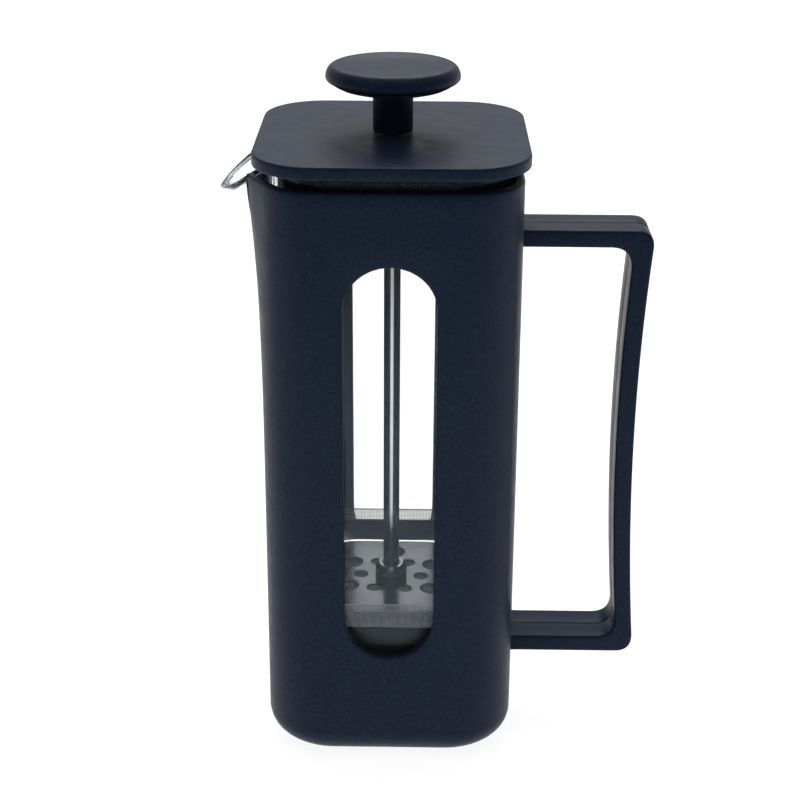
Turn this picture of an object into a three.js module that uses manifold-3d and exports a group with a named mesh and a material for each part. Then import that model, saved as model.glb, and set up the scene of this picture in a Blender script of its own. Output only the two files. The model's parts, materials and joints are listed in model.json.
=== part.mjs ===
// Square French press: a glass beaker in a moulded holder, a plug-in lid and a plunger with a square filter.
// Millimetres. The origin is the middle of the underside; +Z is up, the handle is on +X, the lip on -X.

import * as THREE from 'three';
import { mergeVertices } from 'three/addons/utils/BufferGeometryUtils.js';
import Module from 'manifold-3d';

const wasm = await Module();
wasm.setup();

// ---------------------------------------------------------------- driving dimensions

const GAP = 0.3; // air left between pieces that touch on the real object
const ROUND = 28; // sides of a full turn on small round pieces
const KNOB_ROUND = 40;
const HOLE_ROUND = 12;
const PAST = 1; // how far a cutter runs past the face it cuts

const HOLDER = {
  half: 38.7, // half the outer width at the rim
  draft: 0.85, // how much wider the foot is than the rim, on each side
  corner: 18.6,
  wall: 2.5,
  rim: 189.5,
  floor: 3,
  footFillet: 11,
};

const FLARE = { start: 80, out: 4.3, fullHalf: 15, endHalf: 28, power: 3.1 }; // how the wall leans out
const NOTCH = { half: 17.6, bottom: 173.6, corner: 7, sag: 1.5, depth: 20 }; // the rim's cut for the lip
const WINDOW = { half: 13.8, bottom: 38.8, top: 167.7 };
const FOOT_RING = { outer: 25, inner: 19, outerCorner: 11, innerCorner: 8, depth: 0.8 };

const ARM = { upperLow: 164.5, upperHigh: 169.9, lowerLow: 22.9, lowerHigh: 28.6 };
const GRIP = {
  halfWidth: 8.7,
  outer: { top: [79.0, 164.8], pull: [74.0, 100], bottom: [80.5, 28.9] },
  inner: { top: [72.6, 157.5], pull: [68.9, 97], bottom: [74.5, 35.5] },
  outerBend: 5.4, // how far from the strap's end each bend begins
  innerBend: 6.4,
  outerLean: 0.2, // how far the lower bends lean out past the grip's ends
  innerLean: 0.3,
  edge: 0.8,
};
const HANDLE_SCREW = { shank: 1.5, head: 3.1, headDepth: 1.6, length: 17.5, point: 2, tipRadius: 0.4 };

const GLASS = { half: 35.3, corner: 19, wall: 2, bottom: 5.6, base: 3, rim: 193.2, foot: 6 };
const LIP = {
  halfWidth: 16.6,
  reach: 16.6,
  drop: 12,
  start: 167,
  ease: 2,
  spread: 1.36, // these two powers give the lip its U outline, seen from above
  fullness: 0.256,
  innerReachInset: 0.6, // the inner skin is drawn out less, by these shares of the wall
  innerDropInset: 0.5,
};
const CUSHION = { outer: 28.5, inner: 21, outerCorner: 13, innerCorner: 9, thickness: 2 };

const LID = { half: 40.3, corner: 18.5, under: 193.5, top: 197.6, edge: 0.8 };
const BOSS = { centre: 7, side: 3.5, bottom: 188.3, spread: 19 };
const SKIRT = { half: 32.8, corner: 16.5, wall: 1.6, bottom: 179, webLow: 186.5, webHigh: 188 };
const SLOT = { count: 7, width: 2, pitch: 4, low: 181, high: 185.5 };
const LID_SCREW = {
  shank: 1.5,
  head: 3,
  headHeight: 2,
  crown: 2.25, // radius of the flat on top of the head
  headSide: 0.8, // height at which the head's crown begins
  tip: 195.6,
  point: 1.5,
  tipRadius: 0.4,
};
const BUSHING = { outer: 4, flange: 6, flangeHeight: 1.4, top: 197 };

const ROD = { radius: 2.6, bottom: 49.6, top: 208.4, chamfer: 0.5 };
const KNOB = { radius: 20, stem: 6, seam: 212.5, under: 209.9, seamInset: 1.9, stemEdge: 0.4, neck: 0.9 };
// The knob cap's outline from the seam up over its rim and down into the dish: [in from the rim, height].
const CAP_OUTLINE = [
  [1.5, 212.8], [0.45, 213.4], [0, 214.2], [0.3, 215.2], [1, 217.1], [1.9, 217.6], [2.7, 217.7],
  [3.6, 217.45], [6, 216.8], [12, 216.4], [20, 216.3],
];
// The underside of the knob body, from the stem's neck out to the seam: [share of the radius, above under].
const KNOB_UNDERSIDE = [[0.6, 0.5], [0.8, 1.2]];
const INSERT = { outer: 4, top: 208.8, height: 9.5 };

const TRAY = {
  half: 32,
  corner: 18,
  sheet: 0.5,
  floorTop: 46.9,
  rim: 50.6,
  curve: [7.5, 3.2], // width and height of the curve between the floor and the wall, outside
};
const MESH = { half: 32.9, corner: 18.7, sheet: 0.4, rim: 53.8, fold: 0.8, innerFold: 0.56 };
const PLATE = { half: 27, corner: 13, sheet: 0.8 };
const HOLES = {
  inner: [10, 2.4], // [ring radius, hole radius]
  outer: [15.8, 3.6],
  mid: [21.5, 2.4],
  turn: -3, // degrees that the whole pattern is turned
  plain: 4, // the place in the outer ring, nearest the front, that has no hole
};
const HUB = { radius: 5.2, top: 52, chamfer: 1.3, chamferIn: 1.05 };
const CLAMP = { flange: 7, flangeHeight: 1.7, stud: 2.5, top: 49.2, flangeEdge: 0.5, studEdge: 0.4 };

// Heights that follow from the ones above.
const meshFloorTop = TRAY.floorTop - TRAY.sheet - GAP;
const plateTop = meshFloorTop - MESH.sheet - GAP;
const clampTop = plateTop - PLATE.sheet - GAP;
const stemBottom = LID.top + GAP;

// ---------------------------------------------------------------- materials

const NAVY = new THREE.MeshStandardMaterial({ color: 0x1b2433, roughness: 0.55, metalness: 0 });
const CLEAR = new THREE.MeshStandardMaterial({
  color: 0xdfe8ea,
  roughness: 0.05,
  transparent: true,
  opacity: 0.3,
});
const STEEL = new THREE.MeshStandardMaterial({ color: 0xb9bcbe, roughness: 0.2, metalness: 1 });
const WOVEN = new THREE.MeshStandardMaterial({ color: 0x8f9498, roughness: 0.45, metalness: 1 });
const BRASS = new THREE.MeshStandardMaterial({ color: 0xb99a4e, roughness: 0.35, metalness: 1 });
const NYLON = new THREE.MeshStandardMaterial({ color: 0x22262d, roughness: 0.6, metalness: 0 });
const SOFT = new THREE.MeshStandardMaterial({ color: 0x3c4044, roughness: 0.8, metalness: 0 });

// ---------------------------------------------------------------- solids, joins and cuts

function toSolid(geometry) {
  const bare = geometry.index ? geometry.toNonIndexed() : geometry.clone();
  bare.deleteAttribute('normal');
  bare.deleteAttribute('uv');
  const merged = mergeVertices(bare, 1e-4);
  return new wasm.Manifold(new wasm.Mesh({
    numProp: 3,
    vertProperties: new Float32Array(merged.attributes.position.array),
    triVerts: new Uint32Array(merged.index.array),
  }));
}

function toGeometry(solid) {
  const mesh = solid.getMesh();
  const geometry = new THREE.BufferGeometry();
  geometry.setAttribute('position', new THREE.BufferAttribute(mesh.vertProperties, 3));
  geometry.setIndex(new THREE.BufferAttribute(mesh.triVerts, 1));
  geometry.computeVertexNormals();
  return geometry;
}

const join = (first, ...rest) => rest.reduce((sum, solid) => sum.add(solid), first);
const cut = (first, ...rest) => rest.reduce((left, solid) => left.subtract(solid), first);

// ---------------------------------------------------------------- outlines and bodies

// A square with round corners. leftStops are extra points up the -X side, for surfaces that bulge there.
function squareShape(half, corner, leftStops = []) {
  const c = half - corner;
  const shape = new THREE.Shape();
  shape.moveTo(half, -c);
  shape.lineTo(half, c);
  shape.absarc(c, c, corner, 0, Math.PI / 2);
  shape.lineTo(-c, half);
  shape.absarc(-c, c, corner, Math.PI / 2, Math.PI);
  leftStops.filter((y) => Math.abs(y) < c).forEach((y) => shape.lineTo(-half, y));
  shape.lineTo(-half, -c);
  shape.absarc(-c, -c, corner, Math.PI, 1.5 * Math.PI);
  shape.lineTo(c, -half);
  shape.absarc(c, -c, corner, 1.5 * Math.PI, 2 * Math.PI);
  return shape;
}

// Stands a shape up through the given heights, then lets place() move each point. A quarter turn of an arc
// gets twice as many sides as segments says.
function standUp(shape, levels, { segments = 4, place = (point) => point } = {}) {
  const geometry = new THREE.ExtrudeGeometry(shape, {
    depth: levels.length - 1,
    steps: levels.length - 1,
    bevelEnabled: false,
    curveSegments: segments,
  });
  const position = geometry.attributes.position;
  const point = new THREE.Vector3();
  for (let i = 0; i < position.count; i += 1) {
    point.fromBufferAttribute(position, i);
    point.z = levels[Math.round(point.z)];
    place(point);
    position.setXYZ(i, point.x, point.y, point.z);
  }
  return toSolid(geometry);
}

// A flat square slab whose top and bottom edges are rounded.
function slab(half, corner, low, high, edge) {
  const geometry = new THREE.ExtrudeGeometry(squareShape(half, corner), {
    depth: high - low - 2 * edge,
    bevelThickness: edge,
    bevelSize: edge,
    bevelOffset: -edge,
    bevelSegments: 2,
    curveSegments: 4,
  });
  geometry.translate(0, 0, low + edge);
  return toSolid(geometry);
}

// A solid of revolution about the vertical axis at x, y. The profile holds [radius, height] pairs.
function turned(profile, { x = 0, y = 0, sides = ROUND } = {}) {
  const geometry = new THREE.LatheGeometry(profile.map(([r, z]) => new THREE.Vector2(r, z)), sides);
  geometry.rotateX(Math.PI / 2);
  geometry.translate(x, y, 0);
  return toSolid(geometry);
}

const post = (radius, low, high, options) =>
  turned([[0, low], [radius, low], [radius, high], [0, high]], options);

// The same solid, laid along +X at the height z.
function turnedAlongX(profile, z) {
  const geometry = new THREE.LatheGeometry(profile.map(([r, x]) => new THREE.Vector2(r, x)), HOLE_ROUND);
  geometry.rotateZ(-Math.PI / 2);
  geometry.translate(0, 0, z);
  return toSolid(geometry);
}

// A shape drawn in X and Z, extruded along Y from -halfDepth to halfDepth.
function sideways(shape, halfDepth, edge = 0, segments = 8) {
  const geometry = new THREE.ExtrudeGeometry(shape, {
    depth: 2 * (halfDepth - edge),
    bevelEnabled: edge > 0,
    bevelThickness: edge,
    bevelSize: edge,
    bevelOffset: -edge,
    bevelSegments: 2,
    curveSegments: segments,
  });
  geometry.translate(0, 0, -(halfDepth - edge));
  geometry.rotateX(Math.PI / 2);
  return toSolid(geometry);
}

const FILLET_STEPS = [0, 0.05, 0.2, 0.5, 1]; // where a rounded foot is divided, as shares of its height

const smooth = (t) => THREE.MathUtils.smoothstep(t, 0, 1);

// Evenly spaced heights from low to high, both included.
function heights(low, high, steps) {
  return Array.from({ length: steps + 1 }, (_, i) => low + ((high - low) * i) / steps);
}

// How far a quarter-round edge of the given radius draws in at a distance from its end.
const roundIn = (radius, distance) =>
  distance >= radius ? 0 : radius - Math.sqrt(radius ** 2 - (radius - distance) ** 2);

// ---------------------------------------------------------------- holder

const holderHalf = (z) => HOLDER.half + HOLDER.draft * (1 - z / HOLDER.rim);

function flareAt(y, z) {
  const across = 1 - smooth((Math.abs(y) - FLARE.fullHalf) / (FLARE.endHalf - FLARE.fullHalf));
  const up = Math.min(1, Math.max(0, (z - FLARE.start) / (HOLDER.rim - FLARE.start)));
  return FLARE.out * across * up ** FLARE.power;
}

function holderWall(inset, corner, levels, fillet) {
  const half = HOLDER.half - inset;
  const side = [18, FLARE.fullHalf, 8];
  const stops = [...side, 0, ...side.map((y) => -y).reverse()];
  return standUp(squareShape(half, corner, stops), levels, {
    place: (point) => {
      const drawnIn = roundIn(fillet, point.z - levels[0]);
      const scale = (holderHalf(point.z) - inset - drawnIn) / half;
      if (point.x < 0) point.x -= flareAt(point.y, point.z);
      point.x *= scale;
      point.y *= scale;
    },
  });
}

function windowCut() {
  const { half, bottom, top } = WINDOW;
  const shape = new THREE.Shape();
  shape.moveTo(half, bottom + half);
  shape.lineTo(half, top - half);
  shape.absarc(0, top - half, half, 0, Math.PI);
  shape.lineTo(-half, bottom + half);
  shape.absarc(0, bottom + half, half, Math.PI, 2 * Math.PI);
  return sideways(shape, HOLDER.half + 8 * PAST);
}

// A U-shaped cut through the flared wall, as an outline in Y and Z pushed along X.
function notchCut() {
  const { half, bottom, corner, sag, depth } = NOTCH;
  const shape = new THREE.Shape();
  shape.moveTo(half, HOLDER.rim + PAST);
  shape.lineTo(-half, HOLDER.rim + PAST);
  shape.lineTo(-half, bottom + corner);
  shape.bezierCurveTo(-half, bottom + sag, -half + corner, bottom, 0, bottom);
  shape.bezierCurveTo(half - corner, bottom, half, bottom + sag, half, bottom + corner);
  const geometry = new THREE.ExtrudeGeometry(shape, { depth, bevelEnabled: false, curveSegments: 6 });
  geometry.rotateX(Math.PI / 2);
  geometry.rotateZ(Math.PI / 2);
  geometry.translate(-HOLDER.half - depth / 2, 0, 0);
  return toSolid(geometry);
}

const armMiddles = [(ARM.upperLow + ARM.upperHigh) / 2, (ARM.lowerLow + ARM.lowerHigh) / 2];
const innerWallX = (z) => holderHalf(z) - HOLDER.wall;

// A countersunk screw whose head lies flush in the holder's wall; grow makes the hole that clears it.
function handleScrew(z, grow = 0) {
  const { shank, head, headDepth, length, point, tipRadius } = HANDLE_SCREW;
  const face = innerWallX(z) + GAP - grow * 4; // a grown screw also cuts out through the wall's inner face
  const neck = innerWallX(z) + headDepth;
  const tip = innerWallX(z) + length + grow;
  return turnedAlongX([
    [0, face],
    [head + grow, face],
    [head + grow, innerWallX(z) + 2 * GAP],
    [shank + grow, neck],
    [shank + grow, tip - point],
    [tipRadius + grow, tip],
    [0, tip],
  ], z);
}

function holderShell() {
  const { floor, rim, wall, corner, footFillet } = HOLDER;
  const flareLevels = heights(FLARE.start, rim, 8);
  const innerFillet = footFillet - wall;
  const footLevels = FILLET_STEPS.map((share) => share * footFillet);
  const floorLevels = FILLET_STEPS.map((share) => floor + share * innerFillet);
  const outer = holderWall(0, corner, [...footLevels, ...flareLevels], footFillet);
  const inner = holderWall(wall, corner - wall, [...floorLevels, ...flareLevels, rim + PAST], innerFillet);
  const channel = cut(
    standUp(squareShape(FOOT_RING.outer, FOOT_RING.outerCorner), [-PAST, FOOT_RING.depth]),
    standUp(squareShape(FOOT_RING.inner, FOOT_RING.innerCorner), [-2 * PAST, FOOT_RING.depth + PAST]),
  );
  return cut(outer, inner, windowCut(), notchCut(), channel, ...armMiddles.map((z) => handleScrew(z, GAP)));
}

// ---------------------------------------------------------------- handle

function handleShape() {
  const { outer, inner, outerBend, innerBend, outerLean, innerLean } = GRIP;
  const upperRoot = holderHalf(ARM.upperLow) + GAP;
  const lowerRoot = holderHalf(ARM.lowerLow) + GAP;
  const shape = new THREE.Shape();
  shape.moveTo(upperRoot, ARM.upperLow);
  shape.lineTo(inner.top[0] - innerBend, ARM.upperLow);
  shape.quadraticCurveTo(inner.top[0], ARM.upperLow, ...inner.top);
  shape.quadraticCurveTo(...inner.pull, ...inner.bottom);
  const [lowX] = inner.bottom;
  shape.quadraticCurveTo(lowX + innerLean, ARM.lowerHigh, lowX - innerBend, ARM.lowerHigh);
  shape.lineTo(lowerRoot, ARM.lowerHigh);
  shape.lineTo(lowerRoot, ARM.lowerLow);
  shape.lineTo(outer.bottom[0] - outerBend, ARM.lowerLow);
  shape.quadraticCurveTo(outer.bottom[0] + outerLean, ARM.lowerLow, ...outer.bottom);
  shape.quadraticCurveTo(...outer.pull, ...outer.top);
  shape.quadraticCurveTo(outer.top[0], ARM.upperHigh, outer.top[0] - outerBend, ARM.upperHigh);
  shape.lineTo(upperRoot, ARM.upperHigh);
  return shape;
}

function handle() {
  const strap = sideways(handleShape(), GRIP.halfWidth, GRIP.edge, 9);
  return cut(strap, ...armMiddles.map((z) => handleScrew(z, GAP)));
}

// ---------------------------------------------------------------- glass beaker

// How far the pinched lip is drawn out at a place across it, from 0 at its side to 1 at its middle.
function lipAcross(y, halfWidth) {
  const side = Math.min(1, Math.abs(y) / halfWidth);
  return (1 - side ** LIP.spread) ** LIP.fullness;
}

function glassWall(inset, low, top, foot) {
  const half = GLASS.half - inset;
  const stops = [1, 0.9, 0.72, 0.48, 0.24].map((share) => share * (LIP.halfWidth - inset));
  const across = [...stops, 0, ...stops.map((y) => -y).reverse()];
  const footLevels = [0, 0.13, 0.45, 1].map((share) => low + share * foot);
  const levels = [...footLevels, ...heights(LIP.start, GLASS.rim, 7)];
  if (top > GLASS.rim) levels.push(top);
  return standUp(squareShape(half, GLASS.corner - inset, across), levels, {
    segments: 4,
    place: (point) => {
      const scale = (half - roundIn(foot, point.z - low)) / half;
      const up = Math.min(1, Math.max(0, (point.z - LIP.start) / (GLASS.rim - LIP.start)));
      const drawn = point.x < -half / 2 ? lipAcross(point.y, LIP.halfWidth - inset) * up ** LIP.ease : 0;
      point.x = point.x * scale - drawn * (LIP.reach - inset * LIP.innerReachInset);
      point.y *= scale;
      point.z -= drawn * (LIP.drop - inset * LIP.innerDropInset);
    },
  });
}

function glassBeaker() {
  const outer = glassWall(0, GLASS.bottom, GLASS.rim, GLASS.foot);
  const innerFoot = GLASS.foot - GLASS.wall;
  const inner = glassWall(GLASS.wall, GLASS.bottom + GLASS.base, GLASS.rim + 2 * LIP.drop, innerFoot);
  return cut(outer, inner);
}

function baseCushion() {
  const low = HOLDER.floor + GAP;
  const high = low + CUSHION.thickness;
  const { outer, inner, outerCorner, innerCorner } = CUSHION;
  return cut(
    standUp(squareShape(outer, outerCorner), [low, high]),
    standUp(squareShape(inner, innerCorner), [low - PAST, high + PAST]),
  );
}

// ---------------------------------------------------------------- lid

const screwSides = [-BOSS.spread, BOSS.spread];

function lidCover() {
  const hole = BUSHING.outer + GAP;
  const plate = slab(LID.half, LID.corner, LID.under, LID.top, LID.edge);
  const bosses = [
    post(BOSS.centre, BOSS.bottom, LID.under + PAST),
    ...screwSides.map((y) => post(BOSS.side, BOSS.bottom, LID.under + PAST, { y, sides: HOLE_ROUND })),
  ];
  const pilots = screwSides.map((y) =>
    post(LID_SCREW.shank + GAP, BOSS.bottom - PAST, LID_SCREW.tip + GAP, { y, sides: HOLE_ROUND }));
  return cut(join(plate, ...bosses), post(hole, BOSS.bottom - PAST, LID.top + PAST), ...pilots);
}

function lidSkirt() {
  const { half, corner, wall, bottom, webLow, webHigh } = SKIRT;
  const top = LID.under - GAP;
  const tube = cut(
    standUp(squareShape(half, corner), [bottom, top]),
    standUp(squareShape(half - wall, corner - wall), [bottom - PAST, webLow]),
    standUp(squareShape(half - wall, corner - wall), [webHigh, top + PAST]),
  );
  const slots = Array.from({ length: SLOT.count }, (_, i) => {
    const box = new THREE.BoxGeometry(2 * wall + PAST, SLOT.width, SLOT.high - SLOT.low);
    box.translate(-half, (i - (SLOT.count - 1) / 2) * SLOT.pitch, (SLOT.low + SLOT.high) / 2);
    return toSolid(box);
  });
  const screwHoles = screwSides.map((y) =>
    post(LID_SCREW.shank + GAP, webLow - PAST, webHigh + PAST, { y, sides: HOLE_ROUND }));
  return cut(tube, post(BUSHING.outer + GAP, webLow - PAST, webHigh + PAST), ...slots, ...screwHoles);
}

function lidScrew(y) {
  const { shank, head, headHeight, crown, headSide, tip, point, tipRadius } = LID_SCREW;
  const seat = SKIRT.webLow - GAP;
  return turned([
    [0, seat - headHeight],
    [crown, seat - headHeight],
    [head, seat - headSide],
    [head, seat],
    [shank, seat],
    [shank, tip - point],
    [tipRadius, tip],
    [0, tip],
  ], { y, sides: HOLE_ROUND });
}

function rodBushing() {
  const seat = SKIRT.webLow - GAP;
  const low = seat - BUSHING.flangeHeight;
  const body = join(post(BUSHING.flange, low, seat), post(BUSHING.outer, low, BUSHING.top));
  return cut(body, post(ROD.radius + GAP, low - PAST, BUSHING.top + PAST));
}

// ---------------------------------------------------------------- knob and rod

function knobCap() {
  const outline = CAP_OUTLINE.map(([inset, z]) => [KNOB.radius - inset, z]);
  return turned([[0, KNOB.seam + GAP], ...outline], { sides: KNOB_ROUND });
}

function knobBody() {
  const { radius, stem, seam, under, seamInset, stemEdge, neck } = KNOB;
  const bore = INSERT.outer + GAP;
  const boreTop = INSERT.top + GAP;
  return turned([
    [bore, stemBottom],
    [stem - stemEdge, stemBottom],
    [stem, stemBottom + stemEdge],
    [stem, under - neck],
    [stem + neck, under],
    ...KNOB_UNDERSIDE.map(([share, rise]) => [share * radius, under + rise]),
    [radius - seamInset, seam],
    [0, seam],
    [0, boreTop],
    [bore, boreTop],
    [bore, stemBottom],
  ], { sides: KNOB_ROUND });
}

function knobInsert() {
  const low = INSERT.top - INSERT.height;
  return cut(post(INSERT.outer, low, INSERT.top), post(ROD.radius + GAP, low - PAST, ROD.top + GAP));
}

function plungerRod() {
  const { radius, bottom, top, chamfer } = ROD;
  return turned([
    [0, bottom],
    [radius - chamfer, bottom],
    [radius, bottom + chamfer],
    [radius, top - chamfer],
    [radius - chamfer, top],
    [0, top],
  ]);
}

// ---------------------------------------------------------------- filter

// Round cuts through a sheet at six places round a ring; start is the angle of the first in degrees, and
// plain is a place left without a hole.
function holeRing([ringRadius, holeRadius], start, low, high, plain = -1) {
  return [0, 1, 2, 3, 4, 5].filter((i) => i !== plain).map((i) => {
    const angle = THREE.MathUtils.degToRad(start + HOLES.turn + 60 * i);
    const at = { x: ringRadius * Math.cos(angle), y: ringRadius * Math.sin(angle), sides: HOLE_ROUND };
    return post(holeRadius, low, high, at);
  });
}

// The hole for the clamp nut's stud and the two rings of holes that the tray and its backing plate share.
function sharedHoles(low, high) {
  return [
    post(CLAMP.stud + GAP, low, high, { sides: HOLE_ROUND }),
    ...holeRing(HOLES.inner, 0, low, high),
    ...holeRing(HOLES.outer, 30, low, high, HOLES.plain),
  ];
}

// A square block whose foot is drawn in along a curve of the given width and height.
function curvedBlock(half, corner, low, high, [width, height]) {
  const levels = FILLET_STEPS.map((share) => low + share * height);
  return standUp(squareShape(half, corner), [...levels, high], {
    place: (point) => {
      const short = 1 - Math.min(1, (point.z - low) / height);
      const scale = (half - width * (1 - Math.sqrt(1 - short ** 2))) / half;
      point.x *= scale;
      point.y *= scale;
    },
  });
}

function filterTray() {
  const { half, corner, sheet, floorTop, rim, curve } = TRAY;
  const low = floorTop - sheet;
  const innerCurve = curve.map((size) => size - sheet);
  return cut(
    curvedBlock(half, corner, low, rim, curve),
    curvedBlock(half - sheet, corner - sheet, floorTop, rim + PAST, innerCurve),
    ...sharedHoles(low - PAST, low + 2 * PAST),
  );
}

function filterMesh() {
  const { half, corner, sheet, rim, fold, innerFold } = MESH;
  const low = meshFloorTop - sheet;
  const outer = slab(half, corner, low, rim + fold, fold);
  const inner = slab(half - sheet, corner - sheet, meshFloorTop, rim + 2 * fold, innerFold);
  const above = standUp(squareShape(half + PAST, corner), [rim, rim + 2 * PAST]);
  const hole = post(CLAMP.stud + GAP, low - PAST, low + 2 * PAST, { sides: HOLE_ROUND });
  return cut(outer, inner, above, hole);
}

function supportPlate() {
  const low = plateTop - PLATE.sheet;
  const plate = standUp(squareShape(PLATE.half, PLATE.corner), [low, plateTop]);
  const around = holeRing(HOLES.mid, 0, low - PAST, low + 2 * PAST);
  return cut(plate, ...sharedHoles(low - PAST, low + 2 * PAST), ...around);
}

function rodHub() {
  const low = TRAY.floorTop + GAP;
  const { radius, top, chamfer, chamferIn } = HUB;
  const bore = ROD.radius + GAP;
  return turned([[bore, low], [radius, low], [radius, top - chamfer], [radius - chamferIn, top], [bore, top],
    [bore, low]]);
}

function clampNut() {
  const { flange, flangeHeight, stud, top, flangeEdge, studEdge } = CLAMP;
  const low = clampTop - flangeHeight;
  return turned([[0, low], [flange - flangeEdge, low], [flange, low + flangeEdge], [flange, clampTop],
    [stud, clampTop], [stud, top - studEdge], [stud - studEdge, top], [0, top]]);
}

// ---------------------------------------------------------------- the assembly

const press = new THREE.Group();

function add(name, solid, material) {
  const mesh = new THREE.Mesh(toGeometry(solid), material);
  mesh.name = name;
  press.add(mesh);
}

add('holder_shell', holderShell(), NAVY);
add('handle', handle(), NAVY);
add('handle_screw_upper', handleScrew(armMiddles[0]), STEEL);
add('handle_screw_lower', handleScrew(armMiddles[1]), STEEL);
add('base_cushion', baseCushion(), SOFT);
add('glass_beaker', glassBeaker(), CLEAR);
add('lid_cover', lidCover(), NAVY);
add('lid_skirt', lidSkirt(), NAVY);
add('lid_screw_front', lidScrew(screwSides[0]), STEEL);
add('lid_screw_back', lidScrew(screwSides[1]), STEEL);
add('rod_bushing', rodBushing(), NYLON);
add('knob_cap', knobCap(), NAVY);
add('knob_body', knobBody(), NAVY);
add('knob_insert', knobInsert(), BRASS);
add('plunger_rod', plungerRod(), STEEL);
add('rod_hub', rodHub(), STEEL);
add('filter_tray', filterTray(), STEEL);
add('filter_mesh', filterMesh(), WOVEN);
add('support_plate', supportPlate(), STEEL);
add('clamp_nut', clampNut(), STEEL);

export default press;
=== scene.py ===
"""A square French press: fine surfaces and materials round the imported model, on a pale studio floor.

Shapes are worked out in millimetres and turned into metres when a mesh is made. +Z is up, the handle is on
+X, the pouring lip on -X and the front window on -Y.
"""

import json
import math

import bmesh
import bpy
from mathutils import Matrix, Vector


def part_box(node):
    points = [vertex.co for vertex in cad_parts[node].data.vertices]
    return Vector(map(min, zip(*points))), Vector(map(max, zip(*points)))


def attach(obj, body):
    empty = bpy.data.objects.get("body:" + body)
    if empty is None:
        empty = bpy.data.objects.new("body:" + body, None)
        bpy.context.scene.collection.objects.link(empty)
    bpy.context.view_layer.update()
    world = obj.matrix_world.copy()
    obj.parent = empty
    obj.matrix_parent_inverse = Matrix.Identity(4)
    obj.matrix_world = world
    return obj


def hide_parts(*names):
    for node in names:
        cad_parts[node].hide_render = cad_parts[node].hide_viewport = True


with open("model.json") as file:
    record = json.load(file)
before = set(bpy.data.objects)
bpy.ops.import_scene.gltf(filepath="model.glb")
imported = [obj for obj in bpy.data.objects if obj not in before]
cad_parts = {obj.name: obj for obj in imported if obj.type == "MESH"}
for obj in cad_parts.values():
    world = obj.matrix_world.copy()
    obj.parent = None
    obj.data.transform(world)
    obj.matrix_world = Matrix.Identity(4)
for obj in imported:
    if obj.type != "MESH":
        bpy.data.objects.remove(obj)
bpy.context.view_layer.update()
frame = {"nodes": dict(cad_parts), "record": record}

MM = 0.001


def box_mm(node):
    """The lowest and highest corner of a CAD node, in millimetres."""
    low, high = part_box(node)
    return Vector(low) / MM, Vector(high) / MM


# ------------------------------------------------------------------ measures in millimetres

HOLDER_HIGH = box_mm("holder_shell")[1]
HANDLE_LOW, HANDLE_HIGH = box_mm("handle")
GLASS_LOW, GLASS_HIGH = box_mm("glass_beaker")
LID_LOW, LID_HIGH = box_mm("lid_cover")
CAP_LOW, CAP_HIGH = box_mm("knob_cap")
KNOB_LOW, KNOB_HIGH = box_mm("knob_body")
INSERT_HIGH = box_mm("knob_insert")[1]
ROD_LOW, ROD_HIGH = box_mm("plunger_rod")
HUB_LOW, HUB_HIGH = box_mm("rod_hub")
TRAY_LOW, TRAY_HIGH = box_mm("filter_tray")
MESH_LOW, MESH_HIGH = box_mm("filter_mesh")

GAP = 0.3
DRAFT = 0.85
HOLDER_CORNER = 18.6
HOLDER_WALL = 2.5
HOLDER_FLOOR = 3.0
RIM = HOLDER_HIGH.z
FOOT_FILLET = 11.0
GROOVE_IN, GROOVE_OUT, GROOVE_DEPTH, GROOVE_EDGE = 19.0, 25.0, 0.8, 0.3  # the shallow ring under the foot
HOLDER_HALF = HOLDER_HIGH.y - DRAFT * (1 - FOOT_FILLET / RIM)
FLARE_START, FLARE_OUT, FLARE_FULL, FLARE_END, FLARE_POWER = 80.0, 4.3, 15.0, 28.0, 3.1
NOTCH_HALF, NOTCH_BOTTOM = 17.6, 173.6
WINDOW_HALF, WINDOW_BOTTOM, WINDOW_TOP = 13.8, 38.8, 167.7

GLASS_HALF = GLASS_HIGH.y
GLASS_CORNER = 19.0
GLASS_WALL = 2.0
GLASS_BASE = 3.0
GLASS_FOOT = 6.0
LIP_HALF, LIP_REACH, LIP_DROP, LIP_START = 16.6, 17.8, 12.6, 167.0
LIP_SPREAD, LIP_FULLNESS = 1.36, 0.256  # these two powers give the lip its U outline, seen from above

LID_CORNER = 18.5
LID_UNDER = 193.5
KNOB_UNDER = 209.9  # the lowest part of the knob's round, round the stem


# ------------------------------------------------------------------ mesh tools

class Surface:
    """Collects rings of points in millimetres and the faces between them."""

    def __init__(self):
        self.points = []
        self.faces = []

    def ring(self, points):
        first = len(self.points)
        self.points.extend(tuple(p) for p in points)
        return list(range(first, len(self.points)))

    def band(self, a, b, closed=True, skip=()):
        """Quads between two rings with the same number of points. skip holds the steps that stay open."""
        count = len(a)
        for i in range(count if closed else count - 1):
            if i not in skip:
                j = (i + 1) % count
                self.faces.append((a[i], a[j], b[j], b[i]))

    def bands(self, rings, closed_up=False):
        following = rings[1:] + rings[:1] if closed_up else rings[1:]
        for a, b in zip(rings, following):
            self.band(a, b)

    def cap(self, ring):
        self.faces.append(tuple(ring))

    def object(self, name, material, body, replaced=(), angle=35.0):
        mesh = bpy.data.meshes.new(name)
        mesh.from_pydata([(x * MM, y * MM, z * MM) for x, y, z in self.points], [], self.faces)
        bm = bmesh.new()
        bm.from_mesh(mesh)
        bmesh.ops.remove_doubles(bm, verts=bm.verts, dist=1e-7)
        bmesh.ops.recalc_face_normals(bm, faces=bm.faces)
        bm.to_mesh(mesh)
        bm.free()
        return place(bpy.data.objects.new(name, mesh), material, body, replaced, angle)


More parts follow.
